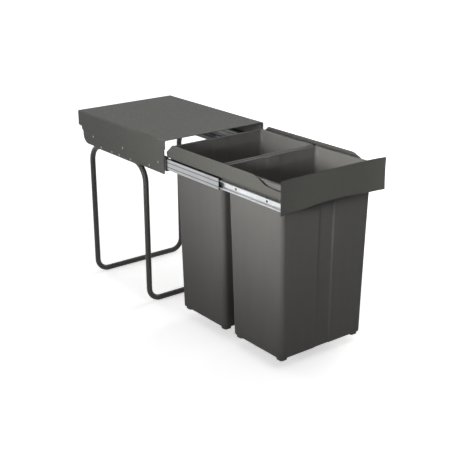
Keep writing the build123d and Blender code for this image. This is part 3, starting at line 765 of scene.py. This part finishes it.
def front_plate_surface(low, high, plate):
    """The pressed front plate: an upright section, carried along a plan that is flat and then sweeps out.

    In plan the ends are arcs of radius (run^2 + sweep^2) / (2 sweep), tangent to the flat middle. The lower
    edge rises by the arch as 3 t^2 - 2 t^3 between the arch's end and its flat middle.
    """
    sheet, sweep, edge = plate.sheet, plate.sweep, plate.edge_round
    turn = 2 * math.atan2(sweep, high[0] - plate.flat_half)
    run = high[0] - sheet / 2 * math.sin(turn) - plate.flat_half
    radius = (run * run + sweep * sweep) / (2 * sweep)
    angles = np.linspace(0, math.asin(run / radius), 17)
    flat = np.linspace(0, plate.flat_half, 29)[:-1]
    half_plan = np.stack(
        [
            np.concatenate([flat, plate.flat_half + radius * np.sin(angles)]),
            np.concatenate([0 * flat, -radius * (1 - np.cos(angles))]),
            np.concatenate([0 * flat, angles]),
        ]
    )
    other_half = half_plan[:, :0:-1] * np.array([[-1], [1], [-1]])
    x, y, heading = np.concatenate([other_half, half_plan], axis=1)[..., None]
    y = y + high[1] - sheet / 2
    rise = plate.arch * smooth((plate.arch_end - abs(x)) / (plate.arch_end - plate.arch_flat))
    bend = np.linspace(0, np.pi / 2, 5)
    out = sheet / 2 - edge * (1 - np.cos(bend))
    drop = edge * (1 - np.sin(bend))
    across = np.concatenate([out[::-1], -out, -out[::-1], out])
    inward = np.concatenate([drop[::-1], drop])
    z = np.concatenate([high[2] - inward + 0 * x, low[2] + inward + rise], axis=1)
    return grid_surface(np.stack([x + np.sin(heading) * across, y - np.cos(heading) * across, z], axis=-1))


class BINFRAME_OT_front_plate(bpy.types.Operator):
    """Press the drawer's front plate"""

    bl_idname = "binframe.front_plate"
    bl_label = "Front Plate"

    def execute(self, context):
        low, high = (np.array(corner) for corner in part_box("front_plate"))
        surface = front_plate_surface(low, high, context.scene.bin_frame.front_plate)
        piece = mesh_from("front_plate_pressed", surface)
        dress(piece, "drawer", "painted_steel", finish("powder_coated_sheet"), "front_plate")
        return {"FINISHED"}


def split_at_gaps(points, axis, gap=1 * MM):
    """Sort points along an axis and cut them apart where the next one is more than a gap away."""
    points = points[np.argsort(points[:, axis])]
    cuts = np.nonzero(np.diff(points[:, axis]) > gap)[0] + 1
    return np.split(points, cuts)


def solid_places(node):
    """Return the middles of a node's separate solids, found as groups along Y and then along Z."""
    points = np.array([vertex.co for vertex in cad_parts[node].data.vertices])
    solids = [solid for group in split_at_gaps(points, 1) for solid in split_at_gaps(group, 2)]
    return np.array([(solid.min(axis=0) + solid.max(axis=0)) / 2 for solid in solids])


def fastener_surface(place, head_end, tail_end, sizes):
    """A rivet or screw turned about X: shank, flat underside, domed head and the dimple in its middle.

    The dome is a parabola: height (1 - crown (r / head radius)^2). The axis runs from tail_end to head_end.
    """
    towards = math.copysign(1, head_end - tail_end)
    seat = head_end - towards * sizes.head_height
    head, shank, eye = sizes.head / 2, sizes.shank / 2, sizes.eye / 2
    crown, bevel, brim = 0.75, 0.2 * MM, 0.12 * MM
    tip, underside, dome_start, dimple_floor = shank * 0.8, head * 0.96, head * 0.985, [eye * 0.8, eye * 0.5]
    dome = np.linspace(dome_start, eye, 8)
    dome_height = sizes.head_height * (1 - crown * (dome / head) ** 2)
    dimple_height = sizes.head_height * np.array([0.35, 0.45])
    radius = np.concatenate([[tip, shank, shank, underside, head], dome, dimple_floor])
    above_seat = towards * np.concatenate([[0, 0, brim], dome_height, dimple_height])
    along = np.concatenate([[tail_end, tail_end + towards * bevel], seat + above_seat])[:, None]
    angles = towards * np.linspace(0, 2 * np.pi, 24, endpoint=False)
    y = place[1] + radius[:, None] * np.cos(angles)
    z = place[2] + radius[:, None] * np.sin(angles)
    return grid_surface(np.stack([along + 0 * y, y, z], axis=-1))


class BINFRAME_OT_fasteners(bpy.types.Operator):
    """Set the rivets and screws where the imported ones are"""

    bl_idname = "binframe.fasteners"
    bl_label = "Fasteners"

    def execute(self, context):
        sizes = context.scene.bin_frame.fasteners
        for side in SIDES:
            for kind in FASTENER_FINISHES:
                body = "drawer" if kind == "rail_screws" else "base"
                node = side + "_" + kind
                low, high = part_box(node)
                head_end, tail_end = (high.x, low.x) if side == "right" else (low.x, high.x)
                places = solid_places(node)
                surfaces = [fastener_surface(place, head_end, tail_end, sizes) for place in places]
                piece = mesh_from(node + "_domed", joined(surfaces))
                dress(piece, body, "zinc_steel", finish(FASTENER_FINISHES[kind]), node)
        return {"FINISHED"}


def ball_surface(place, radius):
    """A ball: rows of latitude from below to above, r (cos v cos u, cos v sin u, sin v)."""
    latitude = np.linspace(-np.pi / 2, np.pi / 2, 14)[1:-1, None]
    longitude = np.linspace(0, 2 * np.pi, 20, endpoint=False)[None]
    x, y = np.cos(latitude) * np.cos(longitude), np.cos(latitude) * np.sin(longitude)
    return grid_surface(place + radius * np.stack([x, y, np.sin(latitude) + 0 * longitude], axis=-1))


class BINFRAME_OT_balls(bpy.types.Operator):
    """Set round balls in the cages of the slides"""

    bl_idname = "binframe.balls"
    bl_label = "Balls"

    def execute(self, context):
        radius = context.scene.bin_frame.fasteners.ball / 2
        for side in SIDES:
            for row in ("outer", "inner"):
                node = side + "_" + row + "_balls"
                surfaces = [ball_surface(place, radius) for place in solid_places(node)]
                piece = mesh_from(node + "_round", joined(surfaces))
                body = side + "_" + row + "_cage"
                dress(piece, body, "ball_steel", finish("polished_ball_steel"), node)
        return {"FINISHED"}


def kept_nodes():
    """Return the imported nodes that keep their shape, with the finish that each gets."""
    finishes = dict.fromkeys(("cover", "front_cross_bar", "rear_cross_bar"), "powder_coated_sheet")
    side_finishes = {
        "side_plate": "powder_coated_sheet",
        "side_panel": "powder_coated_sheet",
        "outer_rail": "greased_zinc_plate",
        "middle_rail": "grooved_zinc_plate",
        "inner_rail": "bright_zinc_plate",
        "outer_ball_cage": "plain_zinc_cage",
        "inner_ball_cage": "plain_zinc_cage",
        "rail_stop": "moulded_rubber",
    }
    for side in SIDES:
        for name, kind in side_finishes.items():
            finishes[side + "_" + name] = kind
    return finishes


class BINFRAME_OT_finishes(bpy.types.Operator):
    """Finish the sheets, rails, cages and stops"""

    bl_idname = "binframe.finishes"
    bl_label = "Finishes"

    def execute(self, context):
        for name, kind in kept_nodes().items():
            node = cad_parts[name]
            if not node.material_slots:
                node.data.materials.append(None)
            node.material_slots[0].material = finish(kind)
        return {"FINISHED"}


def camera_turn(yaw, pitch, roll):
    """Return the camera's turn: its view, right and up directions from yaw, pitch below level and roll."""
    view = Vector((math.sin(yaw) * math.cos(pitch), math.cos(yaw) * math.cos(pitch), -math.sin(pitch)))
    level = Vector((math.cos(yaw), -math.sin(yaw), 0))
    upright = level.cross(view)
    right = math.cos(roll) * level + math.sin(roll) * upright
    up = -math.sin(roll) * level + math.cos(roll) * upright
    return Matrix((right, up, -view)).transposed().to_4x4()


def add_camera(stage):
    """Stand the camera where the product is seen from the front left."""
    data = bpy.data.cameras.new("camera")
    data.lens = stage.lens
    data.sensor_width = SENSOR_MILLIMETRES
    data.clip_end = 50
    camera = bpy.data.objects.new("camera", data)
    camera.matrix_world = Matrix.Translation(stage.camera_place) @ camera_turn(
        stage.camera_yaw, stage.camera_pitch, stage.camera_roll
    )
    bpy.context.scene.collection.objects.link(camera)
    bpy.context.scene.camera = camera


def add_softbox(name, place, target, width, height, power, spread):
    """A rectangular soft light that faces its target. A grid on it narrows its beam to the spread."""
    data = bpy.data.lights.new(name, "AREA")
    data.shape = "RECTANGLE"
    data.size = width
    data.size_y = height
    data.energy = power
    data.spread = math.radians(spread)
    light = bpy.data.objects.new(name, data)
    aim = (Vector(target) - Vector(place)).to_track_quat("-Z", "Y")
    light.matrix_world = Matrix.Translation(place) @ aim.to_matrix().to_4x4()
    light.visible_camera = False
    bpy.context.scene.collection.objects.link(light)


def shows_background(tree):
    """Return 1 for rays that show the background: from the camera, or by way of metal, gloss or glass."""
    path = add_node(tree, "LightPath")
    shown = path.outputs["Is Camera Ray"]
    for kind in ("Is Glossy Ray", "Is Transmission Ray"):
        either = add_node(tree, "Math", {0: shown, 1: path.outputs[kind]}, operation="MAXIMUM")
        shown = either.outputs["Value"]
    return shown


def add_floor(stage):
    """A wide pale floor that keeps the shadow, and shows white further out, where no shadow falls."""
    half = stage.floor_size / 2
    mesh = bpy.data.meshes.new("studio_floor")
    corners = [(-half, -half, 0), (half, -half, 0), (half, half, 0), (-half, half, 0)]
    mesh.from_pydata(corners, [], [(0, 1, 2, 3)])
    floor = bpy.data.objects.new("studio_floor", mesh)
    bpy.context.scene.collection.objects.link(floor)
    material, tree = new_material("studio_floor_paper")
    place = add_node(tree, "TexCoord")
    distance = add_node(tree, "VectorMath", {0: place.outputs["Object"]}, operation="LENGTH")
    lift = add_node(
        tree,
        "MapRange",
        {
            "Value": distance.outputs["Value"],
            "From Min": stage.shadow_reach,
            "From Max": 3 * stage.shadow_reach,
            "To Min": stage.floor_lift,
            "To Max": 1.0,
        },
    )
    shown = shows_background(tree)
    strength = add_node(tree, "Math", {0: shown, 1: lift.outputs["Result"]}, operation="MULTIPLY")
    tone = add_node(
        tree, "MixRGB", {"Fac": shown, "Color1": stage.floor_colour, "Color2": stage.floor_shown_colour}
    )
    paper = add_node(tree, "BsdfDiffuse", {"Color": tone.outputs["Color"]})
    glow = add_node(tree, "Emission", {"Strength": strength.outputs["Value"]})
    both = add_node(tree, "AddShader", {0: paper.outputs["BSDF"], 1: glow.outputs["Emission"]})
    add_node(tree, "OutputMaterial", {"Surface": both.outputs["Shader"]})
    mesh.materials.append(material)


def add_world(stage):
    """An even pale surrounding that is white where it is seen."""
    world = bpy.data.worlds.new("studio")
    bpy.context.scene.world = world
    world.use_nodes = True
    tree = world.node_tree
    tree.nodes.clear()
    around = add_node(tree, "Background", {"Color": stage.ambient_colour, "Strength": stage.ambient})
    white = add_node(tree, "Background", {"Color": linear("#FFFFFF"), "Strength": 1.0})
    mix = add_node(
        tree,
        "MixShader",
        {0: shows_background(tree), 1: around.outputs["Background"], 2: white.outputs["Background"]},
    )
    add_node(tree, "OutputWorld", {"Surface": mix.outputs["Shader"]})


class BINFRAME_OT_stage(bpy.types.Operator):
    """Set up the camera, the lights and the floor"""

    bl_idname = "binframe.stage"
    bl_label = "Stage"

    def execute(self, context):
        stage = context.scene.bin_frame.stage
        add_camera(stage)
        add_floor(stage)
        add_world(stage)
        for name, box in SOFTBOXES.items():
            add_softbox(name, *box)
        context.scene.view_settings.view_transform = "Standard"
        return {"FINISHED"}


OPERATORS = (
    BINFRAME_OT_leg_tubes,
    BINFRAME_OT_bins,
    BINFRAME_OT_front_plate,
    BINFRAME_OT_fasteners,
    BINFRAME_OT_balls,
    BINFRAME_OT_finishes,
    BINFRAME_OT_stage,
)


class BINFRAME_PT_panel(bpy.types.Panel):
    """Lists the steps that build the scene"""

    bl_idname = "BINFRAME_PT_panel"
    bl_label = "Bin Frame"
    bl_space_type = "VIEW_3D"
    bl_region_type = "UI"
    bl_category = "Bin Frame"

    def draw(self, context):
        for operator in OPERATORS:
            self.layout.operator(operator.bl_idname)
        for name in BinFrameSettings.__annotations__:
            group = getattr(context.scene.bin_frame, name)
            box = self.layout.box()
            for setting in group.__annotations__:
                box.prop(group, setting)


CLASSES = (
    LegTubeSettings,
    BinSettings,
    FrontPlateSettings,
    FastenerSettings,
    FinishSettings,
    StageSettings,
    BinFrameSettings,
    *OPERATORS,
    BINFRAME_PT_panel,
)


def register():
    """Add the settings, operators and panel to Blender."""
    for cls in CLASSES:
        bpy.utils.register_class(cls)
    bpy.types.Scene.bin_frame = bpy.props.PointerProperty(type=BinFrameSettings)


def unregister():
    """Take the settings, operators and panel out again."""
    del bpy.types.Scene.bin_frame
    for cls in reversed(CLASSES):
        bpy.utils.unregister_class(cls)


def main():
    """Build the whole scene."""
    register()
    bpy.ops.binframe.stage()
    bpy.ops.binframe.leg_tubes()
    bpy.ops.binframe.bins()
    bpy.ops.binframe.front_plate()
    bpy.ops.binframe.fasteners()
    bpy.ops.binframe.balls()
    bpy.ops.binframe.finishes()


if __name__ == "__main__":
    main()
